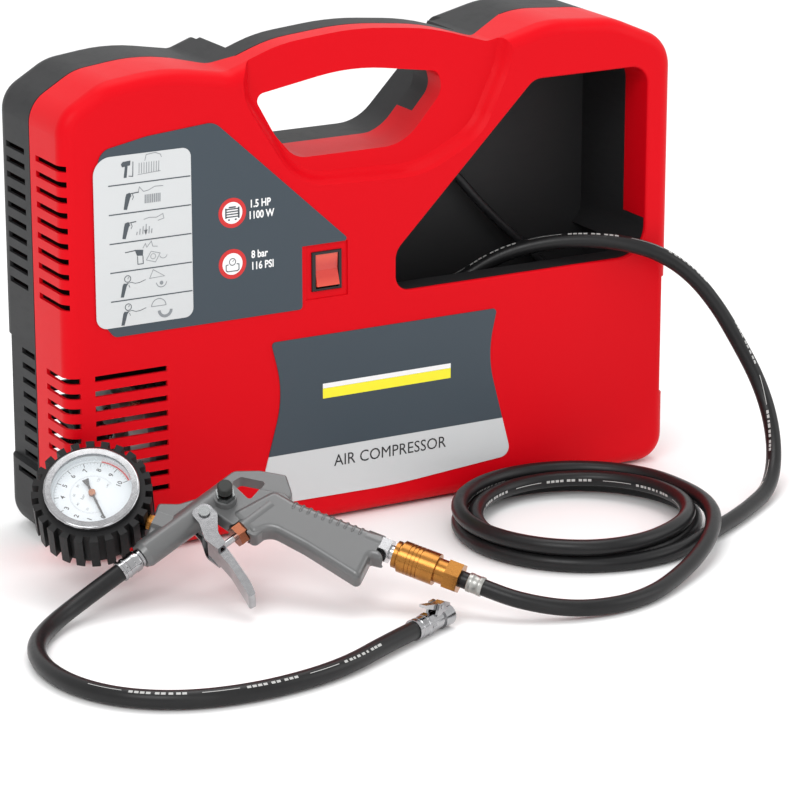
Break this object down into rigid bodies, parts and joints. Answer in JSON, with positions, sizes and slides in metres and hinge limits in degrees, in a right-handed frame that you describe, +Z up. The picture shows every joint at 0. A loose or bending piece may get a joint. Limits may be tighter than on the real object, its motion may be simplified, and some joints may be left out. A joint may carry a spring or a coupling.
{
  "type": "portable air compressor",
  "caption": "Suitcase air compressor in a two-part moulded case with carrying handle and hose compartment, its air hose, a tyre inflator with dial gauge, and a mains lead",
  "frame": {"origin": "on the floor under the middle of the case, on the flat belly rib the case stands on", "axes": "+X to the right along the case front, +Y from the front face to the rear, +Z up"},
  "size_m": [0.7051, 0.4346, 0.3856],
  "materials": {
    "shell_red": "satin",
    "shell_grey": "satin",
    "black_plastic": "satin",
    "liner_black": "matte",
    "panel_slate": "satin",
    "sticker": "satin",
    "label": "satin",
    "rocker_red": "gloss",
    "foot_rubber": "matte",
    "mount_rubber": "matte",
    "boot_rubber": "matte",
    "hose_rubber": "satin",
    "lead_rubber": "satin",
    "plug_body": "satin",
    "zinc_steel": "satin",
    "bright_steel": "polished",
    "lamination": "satin",
    "copper": "satin",
    "carbon": "matte",
    "fan_plastic": "satin",
    "casting": "satin",
    "iron": "satin",
    "brass": "polished",
    "gun_casting": "satin",
    "chrome": "polished",
    "dial_face": "satin",
    "lens": "polished",
    "pointer": "satin",
    "bleed_knob": "satin"
  },
  "bodies": {
    "compressor": {"front_shell": "shell_red", "rear_shell": "shell_grey", "rubber_feet": "foot_rubber", "case_screws": "zinc_steel", "hose_compartment": "liner_black", "control_panel": "panel_slate", "use_chart_sticker": "sticker", "name_label": "label", "switch_bezel": "black_plastic", "motor_field": "lamination", "field_coils": "copper", "brush_gear": "carbon", "shaft_bearings": "bright_steel", "motor_bracket": "casting", "crankcase": "casting", "crankcase_cover": "casting", "cylinder": "casting", "valve_plate": "bright_steel", "cylinder_head": "casting", "head_bolts": "zinc_steel", "air_filter": "black_plastic", "safety_valve": "brass", "pressure_tube": "copper", "hose_fitting": "brass", "motor_base": "zinc_steel", "rubber_mounts": "mount_rubber", "inflator_body": "gun_casting", "gun_hardware": "bright_steel", "gauge_case": "chrome", "gauge_boot": "boot_rubber", "gauge_rim": "chrome", "gauge_dial": "dial_face", "gauge_lens": "lens", "gauge_movement": "brass", "coupler_nipple": "bright_steel", "coupler_body": "brass", "air_hose": "hose_rubber", "air_hose_coil": "hose_rubber", "air_hose_tail": "hose_rubber", "inflator_hose": "hose_rubber", "hose_ferrules": "chrome", "chuck_body": "chrome", "cable_gland": "black_plastic", "mains_lead": "lead_rubber", "mains_lead_coil": "lead_rubber", "mains_plug": "plug_body"},
    "switch_rocker": {"switch_rocker": "rocker_red"},
    "motor_rotor": {"armature": "lamination", "motor_shaft": "bright_steel", "cooling_fan": "fan_plastic", "crank_disc": "iron"},
    "piston": {"piston": "casting", "wrist_pin": "bright_steel"},
    "connecting_rod": {"connecting_rod": "casting"},
    "trigger": {"inflator_trigger": "chrome"},
    "valve_plunger": {"valve_plunger": "bright_steel"},
    "bleed_button": {"bleed_button": "bleed_knob"},
    "gauge_pointer": {"gauge_pointer": "pointer"},
    "coupler_sleeve": {"coupler_sleeve": "brass"},
    "chuck_clip": {"chuck_clip": "bright_steel"}
  },
  "joints": [
    {"name": "switch_rock", "type": "hinge", "parent": "compressor", "child": "switch_rocker", "pos_m": [-0.0468, -0.0558, 0.2032], "axis": [1, 0, 0], "range_deg": [0, 14]},
    {"name": "motor_spin", "type": "hinge", "parent": "compressor", "child": "motor_rotor", "pos_m": [0, 0, 0.074], "axis": [1, 0, 0], "continuous": true},
    {"name": "piston_stroke", "type": "slide", "parent": "compressor", "child": "piston", "axis": [0, 0, 1], "range_m": [-0.024, 0]},
    {"name": "rod_swing", "type": "hinge", "parent": "piston", "child": "connecting_rod", "pos_m": [-0.075, 0, 0.148], "axis": [1, 0, 0], "range_deg": [-10, 10]},
    {"name": "trigger_pull", "type": "hinge", "parent": "compressor", "child": "trigger", "pos_m": [-0.20187, -0.1618, 0.05665], "axis": [-0.2985, -0.5385, 0.788], "range_deg": [0, 12], "stiffness_Nm_per_rad": 0.6, "springref_deg": -5.73},
    {"name": "plunger_stroke", "type": "slide", "parent": "compressor", "child": "valve_plunger", "axis": [0.9056, 0.1009, 0.412], "range_m": [0, 0.0055]},
    {"name": "bleed_press", "type": "slide", "parent": "compressor", "child": "bleed_button", "axis": [0.2985, 0.5385, -0.788], "range_m": [0, 0.002], "stiffness_N_per_m": 400, "springref_m": -0.001},
    {"name": "gauge_needle", "type": "hinge", "parent": "compressor", "child": "gauge_pointer", "pos_m": [-0.268, -0.11, 0.067], "axis": [-0.2985, -0.5385, 0.788], "range_deg": [-270, 0]},
    {"name": "coupler_release", "type": "slide", "parent": "compressor", "child": "coupler_sleeve", "axis": [0.64, -0.7254, -0.2533], "range_m": [0, 0.005], "stiffness_N_per_m": 600, "springref_m": -0.002},
    {"name": "clip_open", "type": "hinge", "parent": "compressor", "child": "chuck_clip", "pos_m": [-0.08972, -0.30873, 0.0191], "axis": [0.423, -0.9061, 0], "range_deg": [0, 10], "stiffness_Nm_per_rad": 0.2, "springref_deg": -11.46}
  ],
  "couplings": [
    {"joint": "plunger_stroke", "follows": "trigger_pull", "m_per_rad": 0.0253}
  ]
}
